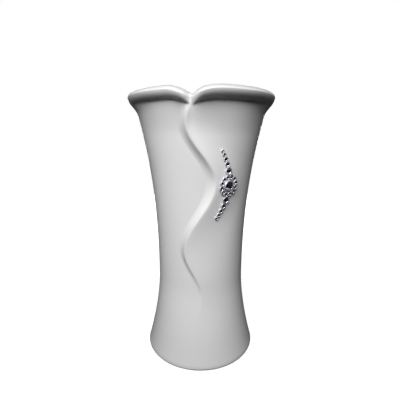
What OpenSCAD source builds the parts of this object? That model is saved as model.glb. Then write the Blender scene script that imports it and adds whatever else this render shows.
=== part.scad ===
// A porcelain trumpet vase. Its wall looks like one petal wrapped round itself: the right edge laps over
// the left one at a notch in the rolled lip, and runs down the front as a wavy raised fold. A jewel of set
// stones, a rosette with two curved tails, is glued on beside the fold.
// Millimetres, +Z up. The origin is at the middle of the foot, on the table. The notch is at the front, -Y.
// An angle on the wall is counted from the front, positive to the right.

/* [Vase wall] */
// Height of the vase, from the table to the top of the lip
vase_h = 240; // [220:1:280]
// Radius of the wall at the table
foot_r = 53; // [48:0.5:60]
// Radius of the waist, the narrowest place of the wall
waist_r = 40.7; // [36:0.1:46]
// Height of the waist above the table
waist_z = 73; // [60:0.5:90]
// Radius that the flaring wall would reach at the top of the lip
neck_r = 61.4; // [56:0.1:68]
// Power of the curve from the waist down to the foot
foot_curve = 1.67; // [1.4:0.01:2.4]
// Power of the curve from the waist up to the lip
neck_curve = 2.33; // [1.6:0.01:2.8]
// Thickness of the porcelain wall
wall_t = 4.2; // [3:0.1:6]

/* [Foot] */
// Thickness of the floor above the recess
floor_t = 6; // [4:0.5:9]
// Depth of the recess under the floor
recess_h = 2.5; // [1:0.5:4]
// Width of the flat ring that the vase stands on, with its rounded edge
foot_ring_w = 9; // [6:0.5:12]
// Rounding of the foot's outer edge
foot_round = 2.6; // [0.5:0.1:4]
// Rounding inside, between the floor and the wall
floor_round = 12; // [6:0.5:18]

/* [Lip] */
// How far the rolled lip stands out from the flaring wall, at the sides
lip_reach = 4.6; // [3:0.1:8]
// How far the lip stands out at the back
back_reach = 7; // [4:0.1:10]
// How far the left petal's lip stands out at the front
left_reach = 7.2; // [4:0.1:10]
// How far the right petal's lip stands out at the front
right_reach = 8; // [4:0.1:10]
// Half the width of the rounded lip, on its outside
lip_half_w = 6.4; // [3.5:0.1:8]
// Half the width of the rounded lip, on its inside
lip_inner_w = 4; // [3:0.1:6]
// Half the height of the rounded lip
lip_half_h = 3.4; // [2.5:0.1:7]
// Height of the hollow curve that leads from the wall out to the lip, at the sides and the back
lip_blend = 20; // [12:0.5:24]
// Power that keeps the hollow curve close to the wall for longer
lip_power = 2.2; // [1:0.1:3]
// Height of the round underside that the lip has at the front
under_h = 5.7; // [4:0.1:8]
// Width of that underside, if it ran on to the horizontal
under_w = 6.2; // [4:0.1:8]
// Softness of the hollow between the underside and the wall
under_soft = 5; // [2:0.5:8]
// How far the wall at the front leans out to meet the underside
lean_w = 2.6; // [0:0.1:5]
// Height over which it leans out
lean_h = 32; // [24:1:48]
// Angle from the front up to which the lip is curled over
curl_full = 35; // [20:1:50]
// Angle from the front at which the curl has given way to the hollow curve
curl_end = 80; // [60:1:120]
// Height over which the wall inside thickens towards the lip
lip_lead = 40; // [20:1:60]

/* [Notch] */
// Angle of the notch in the lip
notch_angle = -5.8; // [-20:0.1:20]
// Depth of the notch
notch_depth = 6.4; // [2:0.1:10]
// Angle over which the left petal's lip falls into the notch
notch_left = 15; // [8:0.5:30]
// Angle in which the right petal's lip recovers most of its height
notch_right = 5.6; // [3:0.1:12]
// Angle over which the bottom of the notch is rounded
notch_soft = 1.5; // [0.5:0.1:4]
// How much lower the left petal's lip is than the right one's
petal_step = 0.5; // [0:0.1:1.5]
// Angle, left of the notch, at which the lip has no overhang
saddle_shift = 1; // [0:0.1:3]
// Angle in which the left petal's overhang comes back
saddle_left = 3.1; // [2:0.1:8]
// Angle in which the right petal's overhang comes back
saddle_right = 4.6; // [2:0.1:8]
// Height of the part of the wall that sinks with the notch
notch_sink = 32; // [20:1:50]

/* [Fold] */
// Height of the fold above the wall, before its crest is rounded
fold_h = 4.5; // [1:0.1:6]
// Height of the fold where it leaves the lip
fold_lip_h = 3.4; // [1:0.1:6]
// How far below the lip the fold reaches its full height
fold_rise = 50; // [20:1:80]
// Width of the hollow slope on the left of the crest
fold_ramp = 9.5; // [5:0.5:14]
// Width of that slope where the fold ends
fold_end_ramp = 3; // [2:0.5:8]
// Power of the hollow slope, higher for a slope that is steeper at the crest
fold_hollow = 2.6; // [1.5:0.1:4]
// Width of the gentle fall on the right of the crest
fold_fall = 32; // [16:1:44]
// Softness of the crest, 0 for a sharp edge
fold_soft = 0.4; // [0.1:0.05:0.8]
// How far below the lip each of the fold's turns lies
turn_drop = [28, 73.5, 133, 174]; // [20:0.5:200]
// Angle of the fold at each of its turns
turn_angle = [-11.6, 13.6, -18.7, 2]; // [-40:0.1:40]
// How far below the lip the fold ends
fold_end_drop = 202; // [190:1:215]
// Angle of the fold at its end
fold_end_angle = -4.5; // [-30:0.5:30]
// How far above its end the fold starts to fade
fold_fade = 110; // [40:1:130]

/* [Jewel] */
// Angle of the rosette's middle on the wall
jewel_angle = 27.5; // [24:0.1:45]
// Height of the rosette's middle above the table
jewel_z = 165; // [140:0.2:175]
// Diameter of the stone in the middle of the rosette
centre_stone_d = 7.6; // [6.6:0.1:8.4]
// Diameter of the twelve small stones round it
halo_stone_d = 3.1; // [2.8:0.1:4]
// Diameter of the first stone of a tail, next to the rosette
tail_stone_1 = 5.2; // [4:0.1:6]
// Diameter of the second stone of a tail
tail_stone_2 = 3.7; // [3:0.1:5]
// Diameter of the third stone of a tail
tail_stone_3 = 3.1; // [2.6:0.1:4]
// Diameter of the fourth stone of a tail
tail_stone_4 = 2.5; // [2:0.1:3.4]
// Diameter of the last stone of a tail
tail_stone_5 = 1.9; // [1.6:0.1:2.6]
// Radius of the curve that the tails follow
tail_bend = 52; // [40:1:90]
// Lean of that curve at the rosette, positive to the right
tail_lean = 0.6; // [-10:0.2:10]

/* [Settings of the stones] */
// Thickness of the metal round a small stone
cup_wall = 0.45; // [0.3:0.05:0.7]
// Thickness of the metal round the middle stone
bezel_wall = 0.5; // [0.4:0.05:0.8]
// Thickness of the metal under a stone's point
cup_floor = 0.4; // [0.3:0.05:0.8]
// Height of the rim that is pressed in over the edge of a stone
rim_h = 0.2; // [0.1:0.05:0.3]
// Rounding of a setting's edges
edge_round = 0.15; // [0.05:0.05:0.25]
// Height of the gallery, the foot of the middle setting
gallery_h = 1.1; // [0.8:0.1:1.6]
// Thickness of the plate that joins the twelve seats
plate_t = 0.9; // [0.6:0.1:1.4]
// How far the twelve seats run into each other
seat_lap = 0.06; // [0.04:0.02:0.2]
// Clearance of a stone in its setting, and of a setting beside the next
seat_gap = 0.06; // [0.04:0.02:0.15]
// Gap between two cups of a tail
cup_gap = 0.12; // [0.08:0.02:0.4]
// Thickness of the glue between a setting and the porcelain
glue_t = 0.35; // [0.25:0.05:0.8]
// Clearance between the glue and the porcelain
glue_gap = 0.05; // [0.03:0.01:0.1]
// Width of bare metal that the glue leaves at a setting's edge
glue_inset = 0.5; // [0.3:0.1:0.8]

/* [Cut of the stones] */
// Depth of the pointed underside, as a share of the stone's diameter
pavilion_share = 0.3; // [0.25:0.01:0.4]
// Height of the upright edge, as a share of the diameter
girdle_share = 0.06; // [0.03:0.01:0.1]
// Height of the bevelled top, as a share of the diameter
crown_share = 0.17; // [0.13:0.01:0.22]
// Width of the flat top, as a share of the diameter
table_share = 0.55; // [0.4:0.01:0.7]
// Depth of the middle stone's flatter underside, as a share of its diameter
centre_pavilion_share = 0.18; // [0.15:0.01:0.3]
// Height of the middle stone's bevelled top, as a share of its diameter
centre_crown_share = 0.14; // [0.12:0.01:0.2]

/* [Hidden] */
halo_count = 12;
tail_stones = [tail_stone_1, tail_stone_2, tail_stone_3, tail_stone_4, tail_stone_5];
tail_count = len(tail_stones);
function two_digits(i) = str(i < 10 ? "0" : "", i);
function halo_name(i) = str("halo_stone_", two_digits(i));
$fn = 48;

// Columns round the body, closest together at the fold, and rows along each stretch of its section.
columns = 60;
column_share = 0.14;
column_power = 2.2;
edge_rows = 3;
wall_rows = 29;
blend_rows = 16;
lip_rows = 10;
inner_rows = 16;
// Rows under the lip crowd towards it by this power.
blend_crowd = 1.5;
// Columns keep to the fold within the first angle from the front, and stand upright beyond the second.
follow_full = 40;
follow_end = 150;
// Faces round the small stones and round the middle one.
small_facets = 8;
centre_facets = 12;
glue_rings = 3;
glue_columns = 24;
// Step of the finite differences that give the slope of the wall.
probe = 0.2;

porcelain = "white";
metal = "silver";
glass = "lightcyan";
glue = "whitesmoke";

function clamp01(t) = min(max(t, 0), 1);
function mix(a, b, t) = a + (b - a) * t;
// Eased steps from 0 to 1: a short one, and one that stays flat for longer at both ends.
function ease(t) = let (c = clamp01(t)) c * c * (3 - 2 * c);
function ease_long(t) = let (c = clamp01(t)) c * c * c * (c * (6 * c - 15) + 10);

// Radius of the plain wall, without lip and fold.
function wall_r(z) = z < waist_z
    ? mix(waist_r, foot_r, pow((waist_z - z) / waist_z, foot_curve))
    : mix(waist_r, neck_r, pow((z - waist_z) / (vase_h - waist_z), neck_curve));
function wall_slope(z) = (wall_r(z + probe) - wall_r(z - probe)) / (2 * probe);

// Section of the lip: the wall is led out to a rounded bead, which starts at the wall's own lean.
bead_z = vase_h - lip_half_h;
bead_tilt = atan(wall_slope(bead_z) * lip_half_h / lip_half_w);
blend_top = bead_z - lip_half_h * sin(bead_tilt);
blend_z = blend_top - max(lip_blend, lean_h);
bead_r = wall_r(blend_top) + lip_reach - lip_half_w * cos(bead_tilt);
inner_top = bead_z + lip_half_h * sin(bead_tilt);
inner_top_r = bead_r - lip_inner_w * cos(bead_tilt);
lip_wall_t = wall_r(inner_top) - inner_top_r;
function inner_r(z) = wall_r(z) - mix(wall_t, lip_wall_t, ease((z - inner_top + lip_lead) / lip_lead));

// The fold's line: eased swings between its turns, from the notch down to its end.
turns = concat(
    [[0, notch_angle]],
    [for (i = [0 : len(turn_drop) - 1]) [turn_drop[i], turn_angle[i]]],
    [[fold_end_drop, fold_end_angle]]
);
function swing(drop, a, b) = mix(a[1], b[1], ease((drop - a[0]) / (b[0] - a[0])));
function fold_angle(z, i = 0) =
    i + 2 < len(turns) && vase_h - z > turns[i + 1][0]
    ? fold_angle(z, i + 1)
    : swing(vase_h - z, turns[i], turns[i + 1]);

// The fold's height: a hollow slope up to the crest, a gentle fall behind it, and a fade at its lower end.
function softer_min(a, b) = (a + b - sqrt((a - b) * (a - b) + fold_soft * fold_soft)) / 2;
function arc_length(angle, r) = angle * PI / 180 * r;
function fold_relief(angle, z) =
    let (
        across = arc_length(angle - fold_angle(z), wall_r(z)),
        fade = ease((z - vase_h + fold_end_drop) / fold_fade),
        height = mix(fold_lip_h, fold_h, ease((vase_h - z) / fold_rise)),
        slope_up = pow(max(0, 1 + across / mix(fold_end_ramp, fold_ramp, fade)), fold_hollow),
        slope_down = pow(max(0, 1 - across / fold_fall), 2)
    )
    height * fade * max(0, softer_min(slope_up, slope_down));

// 1 near the front, where columns keep to the fold, and 0 at the back, where they stand upright.
function follow(turn) = ease((follow_end - abs(turn)) / (follow_end - follow_full));

// The notch: how deep the lip sinks, how much overhang it loses, and how the wall below sinks with it.
function from_notch(angle) = angle - notch_angle;
function soft_distance(x) = sqrt(x * x + notch_soft * notch_soft) - notch_soft;
function notch_dip(angle) =
    let (x = from_notch(angle), away = soft_distance(x))
    x < 0
    ? (notch_depth - petal_step) * pow(max(0, 1 - away / notch_left), 1.5) + petal_step * follow(x)
    : notch_depth * exp(-away / notch_right);
function lost_overhang(angle) =
    let (x = from_notch(angle) + saddle_shift)
    exp(x < 0 ? -pow(x / saddle_left, 2) : -pow(x / saddle_right, 1.5));
function sink(z) = ease((z - vase_h + notch_sink) / notch_sink);

// How far the wall stands out under the lip, by the depth below the lip's widest place: at the sides and the
// back it is a hollow curve, and at the front a round underside that softly meets the leaning wall.
function softer_max(a, b, soft) = max(a, b) + soft / 6 * pow(max(0, 1 - abs(a - b) / soft), 3);
function curl(angle) = ease((curl_end - abs(angle)) / (curl_end - curl_full));
function front_reach(angle) = from_notch(angle) + saddle_shift < 0 ? left_reach : right_reach;
function plain_reach(angle) = mix(lip_reach, back_reach, ease(abs(angle) / 90 - 1));
function reach(angle) = mix(plain_reach(angle), front_reach(angle), curl(angle));
function hollow_curve(angle, depth) = plain_reach(angle) * pow(ease_long(1 - depth / lip_blend), lip_power);
function underside(depth) =
    let (s = depth / under_h)
    under_w * (1 - sqrt(max(0, 1 - s * s)) + 3 * max(0, s - 1));
function curled_edge(angle, depth) =
    softer_max(front_reach(angle) - underside(depth), lean_w * ease(1 - depth / lean_h), under_soft);
function stand_out(angle, depth) = mix(hollow_curve(angle, depth), curled_edge(angle, depth), curl(angle));
function under_lip(angle, z) = z > blend_z ? stand_out(angle, blend_top - z) * (1 - lost_overhang(angle)) : 0;

// Point of the outer wall, and the frame that stands on it: right, up along the wall, and straight out.
function outer_r(angle, z) = wall_r(z) + under_lip(angle, z) + fold_relief(angle, z);
function on_circle(r, angle, z) = [r * sin(angle), -r * cos(angle), z];
function wall_point(angle, z) = on_circle(outer_r(angle, z), angle, z);
function unit(v) = v / norm(v);
function wall_up(angle, z) = unit(wall_point(angle, z + probe) - wall_point(angle, z - probe));
function wall_out(angle, z) =
    unit(cross(wall_point(angle + probe, z) - wall_point(angle - probe, z), wall_up(angle, z)));
function wall_frame(angle, z) =
    let (out = wall_out(angle, z), up = wall_up(angle, z), right = cross(up, out), at = wall_point(angle, z))
    [for (k = [0 : 2]) [right[k], up[k], out[k], at[k]]];

// A row of the body's section: radius, height, and its shares of the part under the lip, of the lip's bead
// and of the fold.
sole_r = wall_r(foot_round) - foot_round;
floor_z = recess_h + floor_t;
corner_z = floor_z + floor_round;
ring_r = foot_r - foot_ring_w;
function bead_row(t) =
    let (a = 180 * t - bead_tilt, w = cos(a) > 0 ? lip_half_w : lip_inner_w)
    [bead_r + w * cos(a), bead_z + lip_half_h * sin(a), 0, 1 - t, 1 - t];
body_rows = concat(
    [[ring_r, recess_h, 0, 0, 0], [ring_r, 0, 0, 0, 0]],
    [for (i = [0 : edge_rows - 1])
        let (a = 90 * i / edge_rows)
        [sole_r + foot_round * sin(a), foot_round * (1 - cos(a)), 0, 0, 0]],
    [for (i = [0 : wall_rows - 1])
        let (z = mix(foot_round, blend_z, i / wall_rows))
        [wall_r(z), z, 0, 0, 1]],
    [for (i = [0 : blend_rows - 1])
        let (z = mix(blend_z, blend_top, 1 - pow(1 - i / blend_rows, blend_crowd)))
        [wall_r(z), z, 1, 0, 1]],
    [for (i = [0 : lip_rows]) bead_row(i / lip_rows)],
    [for (i = [1 : inner_rows])
        let (z = mix(inner_top, corner_z, i / inner_rows))
        [inner_r(z), z, 0, 0, 0]],
    [for (i = [1 : edge_rows])
        let (a = 90 * i / edge_rows)
        [inner_r(corner_z) - floor_round * (1 - cos(a)), corner_z - floor_round * sin(a), 0, 0, 0]]
);
function column_turn(j) =
    let (t = 2 * j / columns - 1)
    180 * sign(t) * mix(pow(abs(t), column_power), abs(t), column_share);
function body_point(row, turn) =
    let (
        z = row[1],
        angle = turn + fold_angle(z) * follow(turn),
        under = row[2] * under_lip(angle, z),
        bead = row[3] * (reach(angle) * (1 - lost_overhang(angle)) - lip_reach),
        r = row[0] + under + bead + row[4] * fold_relief(angle, z)
    )
    on_circle(r, angle, z - notch_dip(angle) * sink(z));

// Faces of a closed skin: rings of points, the same number in each, between a first and a last pole.
function ring_faces(rings, n) = [
    for (i = [0 : rings - 2], j = [0 : n - 1])
    let (a = i * n + j, b = i * n + (j + 1) % n)
    each [[a, a + n, b + n], [a, b + n, b]]
];
function cap_faces(rings, n) = [
    for (j = [0 : n - 1])
    let (k = (j + 1) % n, last = (rings - 1) * n)
    each [[rings * n, j, k], [rings * n + 1, last + k, last + j]]
];
module skin(points, rings, n) {
    polyhedron(points, concat(ring_faces(rings, n), cap_faces(rings, n)), convexity = 6);
}

module vase_body() {
    turned = [for (j = [0 : columns - 1]) column_turn(j)];
    rings = [for (row = body_rows, turn = turned) body_point(row, turn)];
    poles = [[0, 0, recess_h], [0, 0, floor_z]];
    color(porcelain) skin(concat(rings, poles), len(body_rows), columns);
}

// Stands its children on the wall, above the glue.
module on_wall(angle, z) {
    multmatrix(wall_frame(angle, z))
        translate([0, 0, glue_gap + glue_t])
            children();
}

// A cut: depth of the underside and height of the top, as shares of the diameter, and the number of facets.
small_cut = [pavilion_share, crown_share, small_facets];
centre_cut = [centre_pavilion_share, centre_crown_share, centre_facets];

// Heights inside a setting, above its back.
function girdle_z(d, cut) = cup_floor + seat_gap + cut[0] * d;
function rim_z(d, cut) = girdle_z(d, cut) + girdle_share * d + rim_h;
function crown_lean(cut) = (1 - table_share) / (2 * cut[1]);

// A cut stone, its point on the floor of its setting: a cone of facets, an upright edge and a bevelled top.
module stone(d, cut) {
    facets = cut[2];
    edge_z = girdle_z(d, cut) + girdle_share * d;
    top_z = edge_z + cut[1] * d;
    levels = [
        [d / 2, girdle_z(d, cut), 0],
        [d / 2, edge_z, 0],
        [table_share * d / 2, top_z, 180 / facets]
    ];
    rings = [
        for (level = levels, k = [0 : facets - 1])
        on_circle(level[0], level[2] + 360 * k / facets, level[1])
    ];
    poles = [[0, 0, cup_floor + seat_gap], [0, 0, top_z]];
    color(glass) skin(concat(rings, poles), len(levels), facets);
}

// The outside of a round setting, with its edges rounded off.
module setting_blank(r, h) {
    rotate_extrude()
        polygon([
            [0, 0],
            [r - edge_round, 0],
            [r, edge_round],
            [r, h - edge_round],
            [r - edge_round, h],
            [0, h]
        ]);
}

// The room for a stone: a cone for its point, a straight wall for its edge, and the pressed-in rim.
module setting_hollow(d, cut) {
    wide = d / 2 + seat_gap;
    top_z = rim_z(d, cut);
    rim_r = wide - rim_h * crown_lean(cut);
    rotate_extrude()
        polygon([
            [0, cup_floor],
            [wide, girdle_z(d, cut) - seat_gap],
            [wide, top_z - rim_h],
            [rim_r, top_z],
            [rim_r, top_z + rim_h],
            [0, top_z + rim_h]
        ]);
}

// The twelve seats of the rosette stand in a circle, each running a little into the next.
seat_r = halo_stone_d / 2 + cup_wall;
seat_h = rim_z(halo_stone_d, small_cut);
halo_r = (seat_r - seat_lap) / sin(180 / halo_count);
gallery_r = halo_r - seat_r - seat_gap;
plate_in_r = gallery_r + 4 * seat_gap;
rosette_r = halo_r + seat_r;
module at_seat(i) {
    rotate(360 * (i - 0.5) / halo_count)
        translate([halo_r, 0, 0])
            children();
}
module on_rosette() {
    on_wall(jewel_angle, jewel_z)
        rotate(-tail_lean)
            children();
}

module halo_setting() {
    color(metal)
        on_rosette()
            difference() {
                union() {
                    difference() {
                        cylinder(r = halo_r, h = plate_t);
                        translate([0, 0, -plate_t]) cylinder(r = plate_in_r, h = 3 * plate_t);
                    }
                    for (i = [1 : halo_count]) at_seat(i) setting_blank(seat_r, seat_h);
                }
                for (i = [1 : halo_count]) at_seat(i) setting_hollow(halo_stone_d, small_cut);
            }
}
module halo_stone(i) {
    on_rosette() at_seat(i) stone(halo_stone_d, small_cut);
}
module centre_bezel() {
    color(metal)
        on_rosette()
            difference() {
                union() {
                    setting_blank(gallery_r, gallery_h);
                    setting_blank(centre_stone_d / 2 + bezel_wall, rim_z(centre_stone_d, centre_cut));
                }
                setting_hollow(centre_stone_d, centre_cut);
            }
}
module centre_stone() {
    on_rosette() stone(centre_stone_d, centre_cut);
}

// The tails: cups side by side along a circle on the unrolled wall, away from the rosette.
function cup_r(i) = tail_stones[i - 1] / 2 + cup_wall;
// The first cup lies in the dip between two seats, so close that it nearly touches both.
first_reach = seat_r + cup_r(1) + cup_gap;
first_cup = halo_r * cos(180 / halo_count)
    + sqrt(pow(first_reach, 2) - pow(halo_r * sin(180 / halo_count), 2));
function cup_way(i) = i == 1 ? first_cup : cup_way(i - 1) + cup_r(i - 1) + cup_gap + cup_r(i);
function tail_place(i, side) =
    let (
        turn = side * cup_way(i) / tail_bend * 180 / PI,
        x = -tail_bend * (1 - cos(turn)),
        y = tail_bend * sin(turn),
        right = x * cos(tail_lean) + y * sin(tail_lean),
        z = jewel_z + y * cos(tail_lean) - x * sin(tail_lean)
    )
    [jewel_angle + right / wall_r(z) * 180 / PI, z];
module on_tail(i, side) {
    place = tail_place(i, side);
    on_wall(place[0], place[1]) children();
}
module tail_cup(i, side) {
    color(metal)
        on_tail(i, side)
            difference() {
                setting_blank(cup_r(i), rim_z(tail_stones[i - 1], small_cut));
                setting_hollow(tail_stones[i - 1], small_cut);
            }
}
module tail_stone(i, side) {
    on_tail(i, side) stone(tail_stones[i - 1], small_cut);
}

// The glue: a pad under the rosette that fills the hollow down to the wall, and a spot under each cup.
function wall_depth(frame, x, y) =
    let (
        p = [for (k = [0 : 2]) frame[k][0] * x + frame[k][1] * y + frame[k][3]],
        angle = atan2(p[0], -p[1]),
        away = norm([p[0], p[1]]) - outer_r(angle, p[2])
    )
    -away * (frame[0][2] * sin(angle) - frame[1][2] * cos(angle));
module rosette_adhesive() {
    frame = wall_frame(jewel_angle, jewel_z);
    pad_r = halo_r - glue_inset;
    under = [
        for (k = [1 : glue_rings], j = [0 : glue_columns - 1])
        let (p = on_circle(pad_r * k / glue_rings, 360 * j / glue_columns, 0))
        [p[0], p[1], wall_depth(frame, p[0], p[1]) + glue_gap]
    ];
    over = [for (j = [0 : glue_columns - 1]) on_circle(pad_r, 360 * j / glue_columns, glue_gap + glue_t)];
    poles = [[0, 0, glue_gap], [0, 0, glue_gap + glue_t]];
    color(glue) multmatrix(frame) skin(concat(under, over, poles), glue_rings + 1, glue_columns);
}
module tail_adhesive() {
    color(glue)
        for (side = [-1, 1], i = [1 : tail_count])
            on_tail(i, side)
                translate([0, 0, -glue_t]) cylinder(r = cup_r(i) - glue_inset, h = glue_t);
}

vase_body();
centre_bezel();
centre_stone();
halo_setting();
for (i = [1 : halo_count]) halo_stone(i);
for (i = [1 : tail_count]) tail_cup(i, 1);
for (i = [1 : tail_count]) tail_stone(i, 1);
for (i = [1 : tail_count]) tail_cup(i, -1);
for (i = [1 : tail_count]) tail_stone(i, -1);
rosette_adhesive();
tail_adhesive();
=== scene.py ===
"""Dresses a porcelain trumpet vase: its glazed wall with the wrapped fold, and the jewel of set stones.

Everything is in metres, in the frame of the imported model: +Z up, the notch of the lip at the front, -Y.
"""

import logging
import math
from collections.abc import Callable
from dataclasses import dataclass
from enum import Enum

import bmesh
import bpy
import numpy as np
from mathutils import Matrix, Vector


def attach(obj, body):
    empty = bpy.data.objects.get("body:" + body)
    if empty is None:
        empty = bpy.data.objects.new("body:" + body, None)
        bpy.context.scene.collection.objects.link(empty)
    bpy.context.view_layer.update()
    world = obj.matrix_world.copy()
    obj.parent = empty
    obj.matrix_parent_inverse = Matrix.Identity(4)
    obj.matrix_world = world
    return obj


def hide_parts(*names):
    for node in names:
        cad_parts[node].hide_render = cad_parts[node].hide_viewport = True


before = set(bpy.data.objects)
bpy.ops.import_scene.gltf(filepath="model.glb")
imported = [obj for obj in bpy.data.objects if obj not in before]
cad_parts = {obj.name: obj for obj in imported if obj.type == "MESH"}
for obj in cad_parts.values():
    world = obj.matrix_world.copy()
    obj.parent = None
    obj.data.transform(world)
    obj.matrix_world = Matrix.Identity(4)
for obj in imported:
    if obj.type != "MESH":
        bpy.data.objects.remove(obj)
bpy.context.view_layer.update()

MM = 0.001
BODY = "root"
LOG = logging.getLogger("vase")
# Vertices that lie closer than this become one, at seams and poles.
SEAM_GAP = 1e-6
# Edges that bend by more than this stay sharp.
CREASE = math.radians(50)
# Half a row, which keeps a comparison of row numbers clear of whole ones.
HALF_ROW = 0.5
# Places of the Mix node's sockets when it mixes colours: its share, its two colours and its result.
MIX_SHARE, MIX_FIRST, MIX_SECOND, MIX_RESULT = 0, 6, 7, 2


class Curve(Enum):
    """How an eased step goes from 0 to 1."""

    STRAIGHT = "LINEAR"
    EASED = "SMOOTHSTEP"
    LONG_EASED = "SMOOTHERSTEP"


class Slot(Enum):
    """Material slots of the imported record."""

    PORCELAIN = "porcelain"
    SILVER = "silver"
    CRYSTAL = "crystal"


class Side(Enum):
    """The two tails of the jewel."""

    UPPER = "upper"
    LOWER = "lower"


class Field:
    """A number that varies over a mesh or a surface: one socket of a node tree, with arithmetic."""

    def __init__(self, graph: "Graph", socket: bpy.types.NodeSocket) -> None:
        """Wraps an output socket of a graph."""
        self.graph = graph
        self.socket = socket

    def __add__(self, other: "Number") -> "Field":
        """Sum of two numbers."""
        return self.graph.math("ADD", self, other)

    def __sub__(self, other: "Number") -> "Field":
        """Difference of two numbers."""
        return self.graph.math("SUBTRACT", self, other)

    def __mul__(self, other: "Number") -> "Field":
        """Product of two numbers."""
        return self.graph.math("MULTIPLY", self, other)

    def __truediv__(self, other: "Number") -> "Field":
        """Quotient of two numbers."""
        return self.graph.math("DIVIDE", self, other)

    def __pow__(self, other: "Number") -> "Field":
        """This number to a power."""
        return self.graph.math("POWER", self, other)

    def __neg__(self) -> "Field":
        """The number with its sign turned."""
        return self.graph.math("MULTIPLY", self, -1.0)

    def __radd__(self, other: float) -> "Field":
        """Sum with a plain number on the left."""
        return self.graph.math("ADD", other, self)

    def __rsub__(self, other: float) -> "Field":
        """A plain number less this one."""
        return self.graph.math("SUBTRACT", other, self)

    def __rmul__(self, other: float) -> "Field":
        """Product with a plain number on the left."""
        return self.graph.math("MULTIPLY", other, self)


Number = Field | float
Colour = tuple[float, float, float]
Span = tuple[float, float]
Value = Field | float | int | bool | str | tuple | bpy.types.ID
Plugs = dict[str | int, Value]
Sizes = dict[str, float]
Point = tuple[Number, Number]
Section = Callable[[Field], tuple[Number, ...]]
Piece = bpy.types.Object
Material = bpy.types.Material


class Graph:
    """A node tree under construction."""

    def __init__(self, tree: bpy.types.NodeTree) -> None:
        """Starts on a tree, which may already hold nodes."""
        self.tree = tree

    def node(self, kind: str, plugs: Plugs | None = None, **settings: Value) -> bpy.types.Node:
        """Adds a node.

        Args:
            kind: Blender's name of the node type.
            plugs: What goes into its inputs, by the input's name or place.
            settings: Properties of the node itself.

        Returns:
            The new node.
        """
        node = self.tree.nodes.new(kind)
        for name, value in settings.items():
            setattr(node, name, value)
        for name, value in (plugs or {}).items():
            self.plug(value, node.inputs[name])
        return node

    def plug(self, value: Value, socket: bpy.types.NodeSocket) -> None:
        """Links a field into a socket, or sets the socket to a plain value.

        Args:
            value: The field or the plain value.
            socket: The input that it goes into.
        """
        if isinstance(value, Field):
            self.tree.links.new(value.socket, socket)
        elif socket.type == "RGBA":
            socket.default_value = (*value, 1.0)
        else:
            socket.default_value = value

    def out(self, node: bpy.types.Node, name: str | int = 0) -> Field:
        """An output of a node, as a field."""
        return Field(self, node.outputs[name])

    def field(self, kind: str, plugs: Plugs | None = None, output: str | int = 0, **settings: Value) -> Field:
        """Adds a node, and gives one of its outputs as a field."""
        return self.out(self.node(kind, plugs, **settings), output)

    def math(self, operation: str, *numbers: Number) -> Field:
        """Result of a Math node on one to three numbers."""
        return self.field("ShaderNodeMath", dict(enumerate(numbers)), operation=operation)

    def step(self, value: Number, start: Number, end: Number, curve: Curve = Curve.EASED) -> Field:
        """A step that is 0 up to start and 1 from end on.

        Args:
            value: The number that is followed.
            start: Where the step leaves 0.
            end: Where it reaches 1.
            curve: Its shape in between.

        Returns:
            The step, as a field.
        """
        plugs = {"Value": value, "From Min": start, "From Max": end}
        return self.field("ShaderNodeMapRange", plugs, interpolation_type=curve.value, clamp=True)

    def mix(self, a: Number, b: Number, share: Number) -> Field:
        """The number that lies at a share of the way from a to b."""
        return self.field("ShaderNodeMix", {"Factor": share, "A": a, "B": b}, data_type="FLOAT")

    def tint(self, a: Colour | Field, b: Colour | Field, share: Number) -> Field:
        """The colour that lies at a share of the way from a to b."""
        plugs = {MIX_SHARE: share, MIX_FIRST: a, MIX_SECOND: b}
        return self.field("ShaderNodeMix", plugs, data_type="RGBA", output=MIX_RESULT)

    def vector(self, x: Number, y: Number, z: Number) -> Field:
        """A vector of three numbers."""
        return self.field("ShaderNodeCombineXYZ", {"X": x, "Y": y, "Z": z})

    def height_of(self, vector: Field) -> Field:
        """The third number of a vector."""
        return self.field("ShaderNodeSeparateXYZ", {0: vector}, output="Z")

    def seen(self) -> Field:
        """Tells the rays that show a surface from those that carry its light to others.

        Returns:
            1 for a ray from the camera, a reflection or a refraction, and 0 for any other.
        """
        path = self.node("ShaderNodeLightPath")
        direct = self.math("MAXIMUM", self.out(path, "Is Camera Ray"), self.out(path, "Is Glossy Ray"))
        return self.math("MAXIMUM", direct, self.out(path, "Is Transmission Ray"))


@dataclass(frozen=True)
class Stretch:
    """A stretch of a turned section: its number of rows, and what each row holds along the way."""

    rows: int
    at: Section


@dataclass(frozen=True)
class Coat:
    """A material and the faces that it goes on."""

    material: Material
    faces: Field | bool = True


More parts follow.
